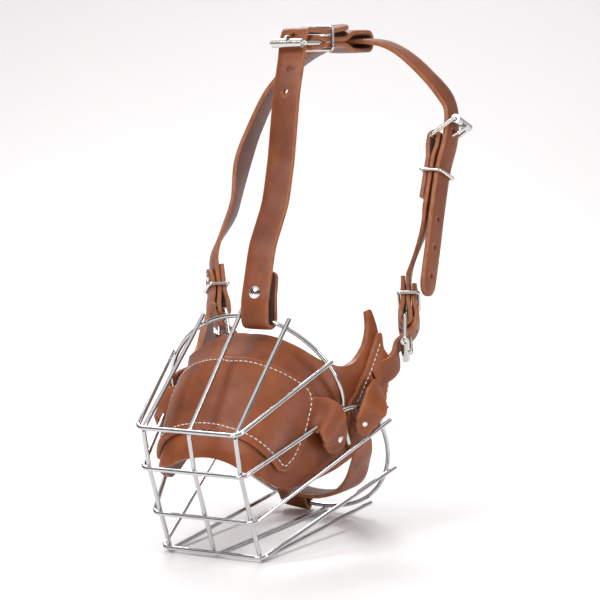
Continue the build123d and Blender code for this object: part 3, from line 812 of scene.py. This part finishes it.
def on_lower_plane(x, up, base=150.0):
    """A point in the lower hoop's sloping plane, up it from the floor."""
    rise = up / sqrt(1 + LOWER_LEAN ** 2)
    return Vector((x, base + LOWER_LEAN * rise, rise))


right = [on_lower_plane(*p) for p in ((0, 18.0), (27.0, 27.5), (46.0, 54.0), (59.5, 91.0))]
left = [Vector((-p.x, p.y, p.z)) for p in reversed(right)]
outs = [Vector((-1, 0, 0.2)), Vector((-0.8, 0, -0.6)), Vector((-0.35, 0, -0.9)), Vector((0, 0, -1)),
        Vector((0.35, 0, -0.9)), Vector((0.8, 0, -0.6)), Vector((1, 0, 0.2))]
throat_run = turning(left + right[1:], outs, 2.0, 22.0)
strap("throat_strap_leather", throat_run, "basket", ["throat_strap"], 2.8, HIDES)
hold = Stand(Vector((-21.0, 148.3, 7.4)), Vector((0, -0.57, 0.82)), Vector((0.965, 0.19, -0.18)))
r = WIRE_R + 1.3 + 1.4
run = [(13.5, 1.0 - r), (2.0, -r), (-r, -r), (-r, r), (2.0, r), (13.5, r - 1.0)]
strap("chin_loop_leather", bend(run, [8.0, r - 0.1, r - 0.1, 8.0], hold), "basket", ["chin_loop"], 2.8)


# ---- stage ----
def make_stage():
    """A pale floor that curves up into a backdrop, a soft sky, and three soft lights."""
    s = Surface("pale_paper")
    s.join(s.ramp(s.noise(1.2, 2.0), [(0.3, (0.90, 0.885, 0.885)), (0.7, (0.93, 0.915, 0.915))]),
           s.shader.inputs["Base Color"])
    s.shader.inputs["Roughness"].default_value = 0.6
    profile = [(-4.0, 0.0), (1.6, 0.0)]
    profile += [(1.6 + 1.2 * sin(radians(a)), 1.2 - 1.2 * cos(radians(a))) for a in range(6, 91, 6)]
    profile.append((2.8, 6.0))
    look = Vector((-0.4907, 0.8625, 0)).normalized()
    wide = Vector((look.y, -look.x, 0))
    verts = [look * d * 1000 + wide * w + Z * (h * 1000 - 0.02) for d, h in profile for w in (-5000, 5000)]
    faces = [[2 * i, 2 * i + 1, 2 * i + 3, 2 * i + 2] for i in range(len(profile) - 1)]
    mesh = bpy.data.meshes.new("floor")
    mesh.from_pydata([tuple(v * MM) for v in verts], [], faces)
    mesh.materials.append(s.material)
    mesh.polygons.foreach_set("use_smooth", [True] * len(faces))
    floor = bpy.data.objects.new("floor", mesh)
    bpy.context.scene.collection.objects.link(floor)

    world = bpy.data.worlds.new("sky")
    bpy.context.scene.world = world
    world.use_nodes = True
    nodes, links = world.node_tree.nodes, world.node_tree.links
    place = nodes.new("ShaderNodeTexCoord")
    split = nodes.new("ShaderNodeSeparateXYZ")
    ramp = nodes.new("ShaderNodeValToRGB")
    links.new(place.outputs["Generated"], split.inputs["Vector"])
    links.new(split.outputs["Z"], ramp.inputs["Fac"])
    stops = [(0.0, 0.25), (0.42, 0.06), (0.56, 0.14), (0.72, 0.95), (1.0, 1.2)]
    while len(ramp.color_ramp.elements) < len(stops):
        ramp.color_ramp.elements.new(0.5)
    for element, (at, grey) in zip(ramp.color_ramp.elements, stops):
        element.position = at
        element.color = (grey, grey * 0.99, grey * 0.985, 1)
    links.new(ramp.outputs["Color"], nodes["Background"].inputs["Color"])
    nodes["Background"].inputs["Strength"].default_value = 0.85

    def soft_light(name, spot, aim, size, watts):
        lamp = bpy.data.lights.new(name, "AREA")
        lamp.shape = "RECTANGLE"
        lamp.size, lamp.size_y = size
        lamp.energy = watts
        obj = bpy.data.objects.new(name, lamp)
        obj.location = spot
        obj.rotation_euler = (Vector(aim) - Vector(spot)).to_track_quat("-Z", "Y").to_euler()
        bpy.context.scene.collection.objects.link(obj)

    soft_light("key_light", (-0.5, -1.5, 1.5), (0, 0.05, 0.1), (0.9, 0.7), 22)
    soft_light("side_light", (1.6, -0.2, 0.9), (0, 0.05, 0.15), (0.5, 1.2), 12)
    soft_light("back_light", (-0.9, 1.2, 1.5), (0, 0.1, 0.15), (0.8, 0.6), 14)
    soft_light("backdrop_light", (-0.93, 1.64, 2.2), (-1.37, 2.41, 0.6), (1.8, 0.4), 12)


def make_camera():
    """A long lens, a little above the muzzle and to its left."""
    turn, drop, roll = radians(-29.637), radians(7.092), radians(-1.148)
    ahead = Vector((sin(turn) * cos(drop), cos(turn) * cos(drop), -sin(drop)))
    right = ahead.cross(Z).normalized()
    up = right.cross(ahead)
    tilted = right * cos(roll) + up * sin(roll)
    upright = up * cos(roll) - right * sin(roll)
    lens = bpy.data.cameras.new("camera")
    lens.sensor_width = 36.0
    lens.lens = 127.2
    lens.clip_end = 50.0
    camera = bpy.data.objects.new("camera", lens)
    pose = Matrix((tilted, upright, -ahead)).transposed().to_4x4()
    pose.translation = Vector((718.66, -1141.43, 335.49)) * MM
    camera.matrix_world = pose
    bpy.context.scene.collection.objects.link(camera)
    bpy.context.scene.camera = camera


make_stage()
make_camera()
bpy.context.scene.view_settings.view_transform = "Standard"

bpy.context.view_layer.update()
